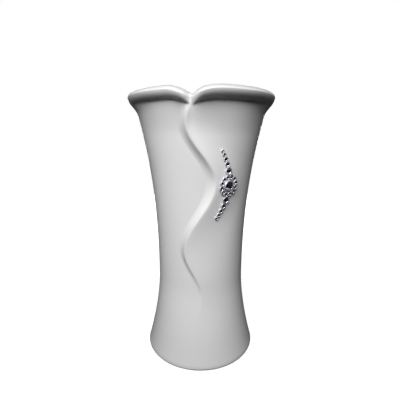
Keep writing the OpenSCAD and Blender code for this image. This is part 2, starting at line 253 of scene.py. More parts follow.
class ShapeTree(Graph):
    """A geometry tree with named sizes. It runs on an empty mesh, and its result is kept as a plain mesh."""

    def __init__(self, name: str) -> None:
        """Starts an empty tree with one geometry output.

        Args:
            name: Name of the tree.
        """
        super().__init__(bpy.data.node_groups.new(name, "GeometryNodeTree"))
        self.tree.interface.new_socket("Geometry", in_out="OUTPUT", socket_type="NodeSocketGeometry")
        self.entry = self.node("NodeGroupInput")
        self.sizes: dict[str, tuple[str, float]] = {}

    def size(self, name: str, value: float) -> Field:
        """Adds a named input of the tree.

        Args:
            name: Plain words for the size.
            value: The size that the modifier gets, unless a piece asks for another.

        Returns:
            The size, as a field.
        """
        socket = self.tree.interface.new_socket(name, in_out="INPUT", socket_type="NodeSocketFloat")
        socket.default_value = value
        self.sizes[name] = (socket.identifier, value)
        return Field(self, next(s for s in self.entry.outputs if s.identifier == socket.identifier))

    def choose(self, test: Field, if_not: Number, if_so: Number) -> Field:
        """One of two numbers, by a test that is 0 or 1."""
        plugs = {"Switch": test, "False": if_not, "True": if_so}
        return self.field("GeometryNodeSwitch", plugs, input_type="FLOAT")

    def line(self, a: Point, b: Point) -> Section:
        """A straight stretch of a section, from one radius and height to another."""
        return lambda t: (self.mix(a[0], b[0], t), self.mix(a[1], b[1], t))

    def arc(self, middle: Point, half: Point, start: float, end: float) -> Section:
        """A round stretch of a section.

        Args:
            middle: Radius and height of its middle.
            half: Half its width and half its height.
            start: Its first angle from the horizontal, in degrees.
            end: Its last angle.

        Returns:
            The radius and height along the stretch.
        """
        def at(t: Field) -> tuple[Number, ...]:
            """Radius and height at a share of the way."""
            a = self.mix(math.radians(start), math.radians(end), t)
            return middle[0] + half[0] * self.math("COSINE", a), middle[1] + half[1] * self.math("SINE", a)
        return at

    def grid(self, columns: int, rows: int) -> tuple[Field, Field, Field]:
        """A sheet of vertices that are placed later.

        Args:
            columns: Vertices across.
            rows: Vertices along each column.

        Returns:
            The sheet, and the column and row of each of its vertices.
        """
        plugs = {"Vertices X": columns, "Vertices Y": rows}
        sheet = self.field("GeometryNodeMeshGrid", plugs, output="Mesh")
        index = self.field("GeometryNodeInputIndex")
        column = self.math("FLOOR", (index + HALF_ROW) / float(rows))
        return sheet, column, index - column * float(rows)

    def walk(self, stretches: list[Stretch], row: Field) -> tuple[Number, ...]:
        """What each row of a whole section holds.

        Args:
            stretches: The section's stretches, in order.
            row: The row of each vertex.

        Returns:
            As many fields as the stretches give, such as radius and height.
        """
        done = 0
        values: tuple[Number, ...] = ()
        for stretch in stretches:
            end = done + stretch.rows
            here = stretch.at(self.step(row, float(done), float(end), Curve.STRAIGHT))
            reached = self.math("GREATER_THAN", row, done - HALF_ROW)
            values = tuple(self.choose(reached, old, new) for old, new in zip(values, here)) if done else here
            done = end
        return values

    def place_round(self, sheet: Field, radius: Field, angle: Field, height: Field) -> Field:
        """Bends a sheet round the axis.

        Args:
            sheet: The sheet of vertices.
            radius: Radius of each vertex.
            angle: Its angle from the front.
            height: Its height.

        Returns:
            The bent sheet, with its seams and poles closed.
        """
        place = self.vector(radius * self.math("SINE", angle), -radius * self.math("COSINE", angle), height)
        placed = self.field("GeometryNodeSetPosition", {"Geometry": sheet, "Position": place})
        return self.field("GeometryNodeMergeByDistance", {"Geometry": placed, "Distance": SEAM_GAP})

    def lathe(self, stretches: list[Stretch], columns: int) -> Field:
        """A turned shape.

        Args:
            stretches: Its section, each row a radius and a height.
            columns: Faces round it.

        Returns:
            The closed shape.
        """
        sheet, column, row = self.grid(columns + 1, sum(s.rows for s in stretches) + 1)
        radius, height = self.walk(stretches, row)
        return self.place_round(sheet, radius, column * (2 * math.pi / columns), height)

    def ring(self, count: int, radius: Number, height: Number, turn: Number = 0.0) -> Field:
        """A ring of points.

        Args:
            count: How many points.
            radius: Radius of the ring.
            height: Its height.
            turn: Angle by which it is turned.

        Returns:
            The ring, as a mesh.
        """
        circle = self.field("GeometryNodeMeshCircle", {"Vertices": count, "Radius": radius})
        plugs = {"Geometry": circle, "Translation": self.vector(0.0, 0.0, height),
                 "Rotation": self.vector(0.0, 0.0, turn)}
        return self.field("GeometryNodeTransform", plugs)

    def join(self, *shapes: Field) -> Field:
        """Joins several shapes.

        Args:
            shapes: The shapes.

        Returns:
            All of them as one.
        """
        node = self.node("GeometryNodeJoinGeometry")
        for shape in shapes:
            self.plug(shape, node.inputs[0])
        return self.out(node)

    def finish(self, shape: Field, coats: list[Coat], crease: float = CREASE) -> None:
        """Ends the tree with real geometry and materials.

        Args:
            shape: What the tree makes.
            coats: Materials in the order in which they go on.
            crease: Edges that bend by more than this stay sharp.
        """
        smooth = self.field("GeometryNodeSetShadeSmooth", {"Geometry": shape})
        bend = self.field("GeometryNodeInputMeshEdgeAngle", output="Unsigned Angle")
        sharp = self.math("GREATER_THAN", bend, crease)
        plugs = {"Geometry": smooth, "Selection": sharp, "Shade Smooth": False}
        edged = self.field("GeometryNodeSetShadeSmooth", plugs, domain="EDGE")
        dressed = self.field("GeometryNodeRealizeInstances", {"Geometry": edged})
        for coat in coats:
            plugs = {"Geometry": dressed, "Selection": coat.faces, "Material": coat.material}
            dressed = self.field("GeometryNodeSetMaterial", plugs)
        self.node("NodeGroupOutput", {0: dressed})

    def make(self, name: str, place: Matrix | None = None, sizes: Sizes | None = None) -> Piece:
        """Runs the tree and keeps what it makes as a plain mesh.

        Args:
            name: Name of the new piece.
            place: Where the shape goes; its place ends up in its mesh.
            sizes: Sizes of this piece, by the names of the tree's inputs.

        Returns:
            The piece, at the origin and without modifiers.
        """
        piece = bpy.data.objects.new(name, bpy.data.meshes.new(name))
        bpy.context.scene.collection.objects.link(piece)
        modifier = piece.modifiers.new("shape", "NODES")
        modifier.node_group = self.tree
        for label, (identifier, value) in self.sizes.items():
            modifier[identifier] = (sizes or {}).get(label, value)
        depsgraph = bpy.context.evaluated_depsgraph_get()
        shaped = bpy.data.meshes.new_from_object(piece.evaluated_get(depsgraph), depsgraph=depsgraph)
        piece.modifiers.remove(modifier)
        piece.data = shaped
        shaped.name = name
        shaped.transform(place or Matrix.Identity(4))
        return piece


def stand_for(piece: Piece, node: str) -> Piece:
    """Lets a piece stand for a CAD node.

    Args:
        piece: The finished piece.
        node: The node that it replaces.

    Returns:
        The piece.
    """
    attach(piece, BODY)
    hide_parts(node)
    return piece


class Mottle:
    """Soft random patches, a shader group that the finishes share."""

    name = "soft_mottle"
    softness = (0.3, 0.7)
    detail = 3.0

    @classmethod
    def tree(cls) -> bpy.types.NodeTree:
        """The group, built the first time that a finish asks for it."""
        return bpy.data.node_groups.get(cls.name) or cls.build()

    @classmethod
    def build(cls) -> bpy.types.NodeTree:
        """Builds the group.

        Returns:
            A tree that turns a place on the surface into a number between a low and a high one.
        """
        tree = bpy.data.node_groups.new(cls.name, "ShaderNodeTree")
        tree.interface.new_socket("Place", in_out="INPUT", socket_type="NodeSocketVector")
        for name in ("Patch size", "Low", "High"):
            tree.interface.new_socket(name, in_out="INPUT", socket_type="NodeSocketFloat")
        tree.interface.new_socket("Value", in_out="OUTPUT", socket_type="NodeSocketFloat")
        graph = Graph(tree)
        entry = graph.node("NodeGroupInput")
        place, size, low, high = (graph.out(entry, name) for name in ("Place", "Patch size", "Low", "High"))
        plugs = {"Vector": place, "Scale": graph.math("DIVIDE", 1.0, size), "Detail": cls.detail}
        noise = graph.field("ShaderNodeTexNoise", plugs)
        share = graph.step(noise, *cls.softness, Curve.STRAIGHT)
        graph.node("NodeGroupOutput", {"Value": graph.mix(low, high, share)})
        return tree


class Paint(Graph):
    """A material under construction."""

    def __init__(self, name: str) -> None:
        """Starts a material with its shader, and reads the place of each point of the surface.

        Args:
            name: Name of the material.
        """
        self.material = bpy.data.materials.new(name)
        self.material.use_nodes = True
        super().__init__(self.material.node_tree)
        self.shader = self.tree.nodes["Principled BSDF"]
        self.place = self.field("ShaderNodeTexCoord", output="Object")

    def set(self, sockets: Plugs) -> Material:
        """Sets or links sockets of the shader.

        Args:
            sockets: What goes into them, by their names.

        Returns:
            The material.
        """
        for name, value in sockets.items():
            self.plug(value, self.shader.inputs[name])
        return self.material

    def mottle(self, size: float, low: float = 0.0, high: float = 1.0) -> Field:
        """Soft random patches of a size, as a number between low and high."""
        plugs = {"Place": self.place, "Patch size": size, "Low": low, "High": high}
        return self.field("ShaderNodeGroup", plugs, node_tree=Mottle.tree(), output="Value")

    def bump(self, height: Field, strength: float, depth: float) -> Field:
        """The normal of a surface with bumps, from their height between 0 and 1, strength and real depth."""
        plugs = {"Strength": strength, "Distance": depth, "Height": height}
        return self.field("ShaderNodeBump", plugs)


@dataclass(frozen=True)
class Porcelain:
    """White glaze over porcelain.

    It carries painted shade: greyer towards the foot, and bluish grey on the upward-facing top of the lip.
    It is bare under the foot ring.
    """

    thick: Colour = (0.69, 0.69, 0.695)
    thin: Colour = (0.67, 0.67, 0.672)
    # Painted shade: the glaze turns greyer from 62 mm down to 12 mm, darker towards the foot.
    foot_shade: Colour = (0.6, 0.6, 0.6)
    foot_shade_z: Span = (62 * MM, 12 * MM)
    # Painted shade: the upward-facing top of the lip, above 222 to 230 mm, is tinted bluish grey.
    edge: Colour = (0.46, 0.465, 0.485)
    lip_shade_z: Span = (222 * MM, 230 * MM)
    lip_shade_facing: Span = (-0.1, 0.8)
    bare: Colour = (0.6, 0.58, 0.54)
    bare_z: Span = (0.4 * MM, 0.8 * MM)
    cloud: float = 70 * MM
    sheen: Span = (0.46, 0.54)
    sheen_patch: float = 25 * MM
    bare_roughness: float = 0.85
    coat_roughness: float = 0.35
    specular: float = 0.2
    ripple: float = 14 * MM
    ripple_depth: float = 0.1 * MM
    ripple_strength: float = 0.15

    def material(self) -> Material:
        """Builds the finish.

        Returns:
            Its material.
        """
        paint = Paint("glazed_porcelain")
        height = paint.height_of(paint.place)
        glazed = paint.step(height, *self.bare_z)
        white = paint.tint(self.thin, self.thick, paint.mottle(self.cloud))
        # Painted shade, darker towards the foot.
        white = paint.tint(white, self.foot_shade, paint.step(height, *self.foot_shade_z))
        # Painted shade: bluish grey where the top of the lip faces up.
        up = paint.height_of(paint.field("ShaderNodeNewGeometry", output="Normal"))
        in_lip_shade = paint.step(height, *self.lip_shade_z) * paint.step(up, *self.lip_shade_facing)
        white = paint.tint(white, self.edge, in_lip_shade)
        return paint.set({
            "Base Color": paint.tint(self.bare, white, glazed),
            "Roughness": paint.mix(self.bare_roughness, paint.mottle(self.sheen_patch, *self.sheen), glazed),
            "Coat Weight": glazed,
            "Coat Roughness": self.coat_roughness,
            "Specular IOR Level": self.specular,
            "Normal": paint.bump(paint.mottle(self.ripple), self.ripple_strength, self.ripple_depth),
        })


@dataclass(frozen=True)
class PatchyFinish:
    """What the jewel's finishes share: two colours and a range of roughness, which vary in soft patches."""

    name: str
    plain: Colour
    clouded: Colour
    patch: float
    roughness: Span

    def sockets(self, paint: Paint) -> Plugs:
        """What the finish sets beside its colour and its roughness."""
        return {}

    def material(self) -> Material:
        """Builds the finish.

        Returns:
            Its material.
        """
        paint = Paint(self.name)
        return paint.set({
            "Base Color": paint.tint(self.plain, self.clouded, paint.mottle(self.patch)),
            "Roughness": paint.mottle(self.patch, *self.roughness),
            **self.sockets(paint),
        })


@dataclass(frozen=True)
class PatchyMetal(PatchyFinish):
    """A patchy finish that is metal all over."""

    def sockets(self, paint: Paint) -> Plugs:
        """Makes the shader a metal."""
        return {"Metallic": 1.0}


@dataclass(frozen=True)
class SilverPlate(PatchyMetal):
    """Satin silver plate with a breath of tarnish."""

    name: str = "silver_plate"
    plain: Colour = (0.93, 0.92, 0.96)
    clouded: Colour = (0.82, 0.81, 0.87)
    patch: float = 1.2 * MM
    roughness: Span = (0.5, 0.62)


@dataclass(frozen=True)
class Foil(PatchyMetal):
    """The mirror backing of a stone's pointed underside, which throws the light back."""

    name: str = "mirror_foil"
    plain: Colour = (0.93, 0.91, 0.98)
    clouded: Colour = (0.8, 0.77, 0.9)
    patch: float = 0.8 * MM
    roughness: Span = (0.08, 0.16)


@dataclass(frozen=True)
class CutCrystal(PatchyFinish):
    """Clear cut glass with a faint lavender tint."""

    name: str = "cut_crystal"
    plain: Colour = (1.0, 1.0, 1.0)
    clouded: Colour = (0.94, 0.92, 1.0)
    patch: float = 1 * MM
    roughness: Span = (0.0, 0.02)
    ior: float = 1.55

    def sockets(self, paint: Paint) -> Plugs:
        """Lets light through."""
        return {"Transmission Weight": 1.0, "IOR": self.ior}


@dataclass(frozen=True)
class HardGlue(PatchyFinish):
    """Hard pale glue, slightly cloudy and dented."""

    name: str = "hard_glue"
    plain: Colour = (0.78, 0.78, 0.74)
    clouded: Colour = (0.68, 0.67, 0.62)
    patch: float = 1.5 * MM
    roughness: Span = (0.25, 0.45)
    dent_strength: float = 0.5
    dent_depth: float = 0.05 * MM

    def sockets(self, paint: Paint) -> Plugs:
        """Dents the surface."""
        return {"Normal": paint.bump(paint.mottle(self.patch), self.dent_strength, self.dent_depth)}


@dataclass(frozen=True)
class PaleFloor:
    """Pale floor that is white away from the object and keeps its soft shadow."""

    colour: Colour = (0.5, 0.5, 0.5)
    near: float = 0.72
    shade: Span = (0.12, 0.35)
    roughness: float = 0.9
    glow: Colour = (1.0, 1.0, 1.0)

    def material(self) -> Material:
        """Builds the finish.

        Returns:
            Its material.
        """
        paint = Paint("pale_floor")
        away = paint.field("ShaderNodeVectorMath", {0: paint.place}, operation="LENGTH", output="Value")
        strength = paint.mix(self.near, 1.0, paint.step(away, *self.shade))
        return paint.set({
            "Base Color": self.colour,
            "Roughness": self.roughness,
            "Specular IOR Level": 0.0,
            "Emission Color": self.glow,
            "Emission Strength": strength * paint.seen(),
        })


@dataclass(frozen=True)
class DarkCard:
    """Black card that keeps stray light off."""

    colour: Colour = (0.02, 0.02, 0.02)

    def material(self) -> Material:
        """Builds the finish."""
        sockets = {"Base Color": self.colour, "Roughness": 1.0, "Specular IOR Level": 0.0}
        return Paint("dark_card").set(sockets)


@dataclass(frozen=True)
class Turn:
    """A turn of the fold: how far below the lip it lies, and its angle from the front in degrees."""

    drop: float
    degrees: float


@dataclass
class VaseWall:
    """The porcelain body, one casting: foot, waisted wall, rolled lip with its notch, and the wrapped fold.

    Angles are in degrees from the front, and to the right is plus.
    """

    # Plain wall: two power curves that meet at the waist.
    height: float = 240 * MM
    foot_r: float = 53 * MM
    waist_r: float = 40.7 * MM
    waist_z: float = 73 * MM
    neck_r: float = 61.4 * MM
    foot_curve: float = 1.67
    neck_curve: float = 2.33
    wall_t: float = 4.2 * MM
    # Foot ring, the recess inside it, and the floor.
    floor_t: float = 6 * MM
    recess_h: float = 2.5 * MM
    foot_ring_w: float = 9 * MM
    foot_round: float = 2.6 * MM
    floor_round: float = 12 * MM
    # Lip: its reach past the plain wall at the sides, the back and the two petals, and its rounded section.
    lip_reach: float = 4.6 * MM
    back_reach: float = 7 * MM
    left_reach: float = 7.2 * MM
    right_reach: float = 8 * MM
    lip_half_w: float = 6.4 * MM
    lip_inner_w: float = 4 * MM
    lip_half_h: float = 3.4 * MM
    lip_lead: float = 40 * MM
    side_angle: float = 90
    back_angle: float = 180
    # Under the lip: a hollow curve at the sides, and at the front a round underside and a leaning wall.
    lip_blend: float = 20 * MM
    lip_power: float = 2.2
    under_h: float = 5.7 * MM
    under_w: float = 6.2 * MM
    under_soft: float = 9 * MM
    under_steep: float = 3.0
    under_crowd: float = 1.5
    lean_w: float = 2.6 * MM
    lean_h: float = 32 * MM
    curl_full: float = 35
    curl_end: float = 80
    # Notch, where the right petal laps over the left one, and the saddle in which the lip loses its overhang.
    notch: Turn = Turn(0, -5.8)
    notch_depth: float = 6.4 * MM
    notch_left: float = 15
    notch_curve: float = 1.5
    notch_right: float = 5.6
    notch_soft: float = 1.5
    notch_sink: float = 32 * MM
    petal_step: float = 0.5 * MM
    saddle: float = -6.8
    saddle_left: float = 3.1
    saddle_left_curve: float = 2.0
    saddle_right: float = 4.6
    saddle_right_curve: float = 1.5
    # Fold: its relief, the hollow slope on its left, the long fall on its right, and the turns of its line.
    fold_h: float = 4.5 * MM
    fold_lip_h: float = 3.4 * MM
    fold_rise: float = 50 * MM
    fold_ramp: float = 9.5 * MM
    fold_hollow: float = 2.6
    fold_end_ramp: float = 3 * MM
    fold_fall: float = 32 * MM
    fold_fall_curve: float = 2.0
    fold_soft: float = 0.4
    fold_fade: float = 110 * MM
    turns: tuple[Turn, ...] = (
        Turn(28 * MM, -11.6), Turn(73.5 * MM, 13.6), Turn(133 * MM, -18.7), Turn(174 * MM, 2),
    )
    fold_end: Turn = Turn(202 * MM, -4.5)
    # Mesh: its columns crowd at the front, where they follow the fold.
    columns: int = 320
    column_share: float = 0.3
    column_power: float = 2.0
    follow_full: float = 40
    follow_end: float = 150

    def plain_r(self, z: float) -> float:
        """Radius of the plain wall, without lip and fold.

        Args:
            z: Height.

        Returns:
            The radius at that height.
        """
        if z < self.waist_z:
            share = ((self.waist_z - z) / self.waist_z) ** self.foot_curve
            return self.waist_r + (self.foot_r - self.waist_r) * share
        share = ((z - self.waist_z) / (self.height - self.waist_z)) ** self.neck_curve
        return self.waist_r + (self.neck_r - self.waist_r) * share

    def build(self) -> Piece:
        """Makes the body by its rule, and glazes it.

        Returns:
            The body's piece.
        """
        tree = ShapeTree("porcelain_wall")
        rule = WallRule(self, tree)
        stretches = rule.section()
        sheet, column, row = tree.grid(self.columns + 1, sum(s.rows for s in stretches) + 1)
        radius, height, under, bead, fold = tree.walk(stretches, row)
        across = column * (2.0 / self.columns) - 1.0
        size = tree.math("ABSOLUTE", across)
        spread = tree.mix(size ** self.column_power, size, self.column_share)
        turn = tree.math("SIGN", across) * spread * math.pi
        angle = turn + rule.fold_angle(height) * rule.within(turn, self.follow_full, self.follow_end)
        kept = 1.0 - rule.lost_overhang(angle)
        under_lip = under * rule.stand_out(angle, height) * kept
        lip = under_lip + bead * (rule.reach(angle) * kept - rule.side_reach)
        outward = radius + lip + fold * rule.fold_relief(angle, height)
        sunk = height - rule.dip(angle) * rule.sink(height)
        tree.finish(tree.place_round(sheet, outward, angle, sunk), [Coat(Porcelain().material())])
        return stand_for(tree.make("glazed_body"), "vase_body")


class WallRule:
    """The rule of the body's shape, as fields of a geometry tree. Angles are in radians, from the front."""

    def __init__(self, wall: VaseWall, tree: ShapeTree) -> None:
        """Takes the wall's main sizes into the tree as its named inputs.

        Args:
            wall: The sizes.
            tree: The tree that shapes the wall.
        """
        self.wall = wall
        self.tree = tree
        self.top = tree.size("Height", wall.height)
        self.foot = tree.size("Foot radius", wall.foot_r)
        self.waist = tree.size("Waist radius", wall.waist_r)
        self.waist_z = tree.size("Waist height", wall.waist_z)
        self.neck = tree.size("Neck radius", wall.neck_r)
        self.thick = tree.size("Wall thickness", wall.wall_t)
        self.side_reach = tree.size("Lip reach at the sides", wall.lip_reach)
        self.back_reach = tree.size("Lip reach at the back", wall.back_reach)
        self.left_reach = tree.size("Lip reach of the left petal", wall.left_reach)
        self.right_reach = tree.size("Lip reach of the right petal", wall.right_reach)
        self.half_w = tree.size("Lip half width", wall.lip_half_w)
        self.inner_w = tree.size("Lip inner half width", wall.lip_inner_w)
        self.half_h = tree.size("Lip half height", wall.lip_half_h)
        self.relief = tree.size("Fold height", wall.fold_h)
        self.ramp = tree.size("Fold slope width", wall.fold_ramp)
        self.fall = tree.size("Fold fall width", wall.fold_fall)
        self.notch_depth = tree.size("Notch depth", wall.notch_depth)
        bead_z = wall.height - wall.lip_half_h
        probe = 0.2 * MM
        slope = (wall.plain_r(bead_z + probe) - wall.plain_r(bead_z - probe)) / (2 * probe)
        self.bead_z = bead_z
        self.tilt = math.atan(slope * wall.lip_half_h / wall.lip_half_w)
        self.blend_top = bead_z - wall.lip_half_h * math.sin(self.tilt)

    def within(self, angle: Field, full: float, end: float) -> Field:
        """1 up to an angle from the front, and 0 from another on, both in degrees."""
        return self.tree.step(self.tree.math("ABSOLUTE", angle), math.radians(end), math.radians(full))

    def plain_r(self, z: Field) -> Field:
        """Radius of the plain wall, as the wall's own method gives it.

        Args:
            z: Height.

        Returns:
            The radius at that height.
        """
        below = self.tree.math("MAXIMUM", self.waist_z - z, 0.0) / self.waist_z
        above = self.tree.math("MAXIMUM", z - self.waist_z, 0.0) / (self.top - self.waist_z)
        low = (self.foot - self.waist) * below ** self.wall.foot_curve
        high = (self.neck - self.waist) * above ** self.wall.neck_curve
        return self.waist + low + high

    def section(self) -> list[Stretch]:
        """The section from the middle of the underside up the wall, over the lip and down to the floor.

        Returns:
            Its stretches. Each row holds a radius, a height, and its shares of the part under the lip, of the
            lip's bead and of the fold.
        """
        tree, wall = self.tree, self.wall
        blend_z = self.blend_top - max(wall.lip_blend, wall.lean_h)
        bead_r = wall.plain_r(self.blend_top) + wall.lip_reach - wall.lip_half_w * math.cos(self.tilt)
        inner_top = self.bead_z + wall.lip_half_h * math.sin(self.tilt)
        lip_t = wall.plain_r(inner_top) - bead_r + wall.lip_inner_w * math.cos(self.tilt)
        edge, corner = wall.foot_round, wall.floor_round
        sole_r = wall.plain_r(edge) - edge
        ring_r = wall.foot_r - wall.foot_ring_w
        floor_z = wall.recess_h + wall.floor_t
        corner_z = floor_z + corner
        corner_r = wall.plain_r(corner_z) - wall.wall_t - corner

        def plain(at: Section) -> Section:
            """A stretch that takes no part in the lip and the fold."""
            return lambda t: (*at(t), 0.0, 0.0, 0.0)

        def outside(t: Field) -> tuple[Number, ...]:
            """Wall from the foot up to where it starts to lean out."""
            z = tree.mix(edge, blend_z, t)
            return self.plain_r(z), z, 0.0, 0.0, 1.0

        def under_lip(t: Field) -> tuple[Number, ...]:
            """Wall under the lip, its rows closer together towards the lip."""
            z = tree.mix(self.blend_top, blend_z, (1.0 - t) ** wall.under_crowd)
            return self.plain_r(z), z, 1.0, 0.0, 1.0

        def lip(t: Field) -> tuple[Number, ...]:
            """Rounded lip, from its widest place over the top to the inside.

            Args:
                t: Share of the way.

            Returns:
                What a row holds there.
            """
            a = t * math.pi - self.tilt
            across = tree.math("COSINE", a)
            half_w = tree.choose(tree.math("GREATER_THAN", across, 0.0), self.inner_w, self.half_w)
            r = bead_r + half_w * across
            z = self.bead_z + self.half_h * tree.math("SINE", a)
            return r, z, 0.0, 1.0 - t, 1.0 - t

        def inside(t: Field) -> tuple[Number, ...]:
            """Inner wall, down to the rounded corner at the floor.

            Args:
                t: Share of the way.

            Returns:
                What a row holds there.
            """
            z = tree.mix(inner_top, corner_z, t)
            lead = tree.step(z, inner_top - wall.lip_lead, inner_top)
            return self.plain_r(z) - tree.mix(self.thick, lip_t, lead), z, 0.0, 0.0, 0.0

        return [
            Stretch(rows=8, at=plain(tree.line((0.0, wall.recess_h), (ring_r, wall.recess_h)))),
            Stretch(rows=2, at=plain(tree.line((ring_r, wall.recess_h), (ring_r, 0.0)))),
            Stretch(rows=3, at=plain(tree.line((ring_r, 0.0), (sole_r, 0.0)))),
            Stretch(rows=6, at=plain(tree.arc((sole_r, edge), (edge, edge), -90, 0))),
            Stretch(rows=80, at=outside),
            Stretch(rows=64, at=under_lip),
            Stretch(rows=32, at=lip),
            Stretch(rows=44, at=inside),
            Stretch(rows=8, at=plain(tree.arc((corner_r, corner_z), (corner, -corner), 0, 90))),
            Stretch(rows=6, at=plain(tree.line((corner_r, floor_z), (0.0, floor_z)))),
        ]

    def fold_angle(self, z: Field) -> Field:
        """Line of the fold: eased swings from turn to turn.

        Args:
            z: Height.

        Returns:
            The line's angle at that height.
        """
        line = [self.wall.notch, *self.wall.turns, self.wall.fold_end]
        drop = self.top - z
        angle: Number = math.radians(line[0].degrees)
        for a, b in zip(line, line[1:]):
            angle = angle + self.tree.step(drop, a.drop, b.drop) * math.radians(b.degrees - a.degrees)
        return angle

    def fold_relief(self, angle: Field, z: Field) -> Field:
        """How far the fold stands out: a hollow slope, the softened crest and a gentle fall.

        Args:
            angle: Angle from the front.
            z: Height.

        Returns:
            The relief, which fades towards the fold's lower end.
        """
        tree, wall = self.tree, self.wall
        across = (angle - self.fold_angle(z)) * self.plain_r(z)
        end_z = self.top - wall.fold_end.drop
        fade = tree.step(z, end_z, end_z + wall.fold_fade)
        height = tree.mix(wall.fold_lip_h, self.relief, tree.step(self.top - z, 0.0, wall.fold_rise))
        ramp = tree.mix(wall.fold_end_ramp, self.ramp, fade)
        up = tree.math("MAXIMUM", 1.0 + across / ramp, 0.0) ** wall.fold_hollow
        down = tree.math("MAXIMUM", 1.0 - across / self.fall, 0.0) ** wall.fold_fall_curve
        apart = up - down
        crest = (up + down - tree.math("SQRT", apart * apart + wall.fold_soft**2)) * 0.5
        return height * fade * tree.math("MAXIMUM", crest, 0.0)

    def dip(self, angle: Field) -> Field:
        """How deep the lip sinks into the notch.

        Args:
            angle: Angle from the front.

        Returns:
            The depth: a steady fall on the notch's left, and a quick one on its right.
        """
        tree, wall = self.tree, self.wall
        past = angle - math.radians(wall.notch.degrees)
        soft = math.radians(wall.notch_soft)
        away = tree.math("SQRT", past * past + soft**2) - soft
        slope = tree.math("MAXIMUM", 1.0 - away / math.radians(wall.notch_left), 0.0) ** wall.notch_curve
        lower = self.within(past, wall.follow_full, wall.follow_end)
        left = (self.notch_depth - wall.petal_step) * slope + wall.petal_step * lower
        right = self.notch_depth * tree.math("EXPONENT", away / math.radians(-wall.notch_right))
        return tree.choose(tree.math("GREATER_THAN", past, 0.0), left, right)

    def lost_overhang(self, angle: Field) -> Field:
        """How much of the lip's overhang is lost close to the notch.

        Args:
            angle: Angle from the front.

        Returns:
            The lost share.
        """
        tree, wall = self.tree, self.wall
        past = angle - math.radians(wall.saddle)
        left = (past / math.radians(wall.saddle_left)) ** wall.saddle_left_curve
        away = tree.math("ABSOLUTE", past)
        right = (away / math.radians(wall.saddle_right)) ** wall.saddle_right_curve
        return tree.math("EXPONENT", -tree.choose(tree.math("GREATER_THAN", past, 0.0), left, right))

    def front_reach(self, angle: Field) -> Field:
        """Reach of the lip at the front, where it belongs to the left petal or to the right one."""
        right = self.tree.math("GREATER_THAN", angle, math.radians(self.wall.saddle))
        return self.tree.choose(right, self.left_reach, self.right_reach)

    def plain_reach(self, angle: Field) -> Field:
        """Reach of the lip away from the front, more at the back than at the sides."""
        beside = self.within(angle, self.wall.side_angle, self.wall.back_angle)
        return self.tree.mix(self.back_reach, self.side_reach, beside)

    def curl(self, angle: Field) -> Field:
        """1 at the front, where the lip is curled over, and 0 at the sides and the back."""
        return self.within(angle, self.wall.curl_full, self.wall.curl_end)

    def reach(self, angle: Field) -> Field:
        """Reach of the lip all round."""
        return self.tree.mix(self.plain_reach(angle), self.front_reach(angle), self.curl(angle))

    def stand_out(self, angle: Field, z: Field) -> Field:
        """How far the wall stands out under the lip.

        Args:
            angle: Angle from the front.
            z: Height.

        Returns:
            A hollow curve at the sides and the back, and at the front a round underside that softly meets the
            leaning wall.
        """
        tree, wall = self.tree, self.wall
        depth = self.blend_top - z
        rise = tree.step(depth, wall.lip_blend, 0.0, Curve.LONG_EASED)
        hollow = self.plain_reach(angle) * rise ** wall.lip_power
        s = depth / wall.under_h
        past = tree.math("MAXIMUM", s - 1.0, 0.0)
        level = tree.math("SQRT", tree.math("MAXIMUM", 1.0 - s * s, 0.0))
        round_fall = 1.0 - level + past * wall.under_steep
        edge = self.front_reach(angle) - round_fall * wall.under_w
        lean = tree.step(depth, wall.lean_h, 0.0) * wall.lean_w
        curled = tree.math("SMOOTH_MAX", edge, lean, wall.under_soft)
        return tree.mix(hollow, curled, self.curl(angle))

    def sink(self, z: Field) -> Field:
        """Share of the notch's depth by which a height sinks."""
        return self.tree.step(z, self.top - self.wall.notch_sink, self.top)


@dataclass(frozen=True)
class Seat:
    """Seat of a stone: the frame of its setting's back, with Z out of the wall, and the stone's width."""

    place: Matrix
    width: float

    @classmethod
    def of(cls, node: str, lift: float = 0.46 * MM) -> "Seat":
        """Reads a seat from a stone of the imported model.

        Args:
            node: The stone's node.
            lift: Height of that stone's point above its setting's back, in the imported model.

        Returns:
            The seat of that stone.
        """
        corners = np.array([v.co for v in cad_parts[node].data.vertices])
        middle = corners.mean(axis=0)
        spread = corners - middle
        # A stone's axis is the way in which its corners spread least, turned out of the wall.
        axis = np.linalg.eigh(spread.T @ spread)[1][:, 0]
        axis *= np.sign(axis[:2] @ middle[:2])
        along = spread @ axis
        out = Vector(axis)
        right = Vector((0, 0, 1)).cross(out).normalized()
        turned = Matrix((right, out.cross(right), out)).transposed().to_4x4()
        back = Vector(middle) + out * (along.min() - lift)
        width = 2 * np.linalg.norm(spread - np.outer(along, axis), axis=1).max()
        return cls(Matrix.Translation(back) @ turned, float(width))


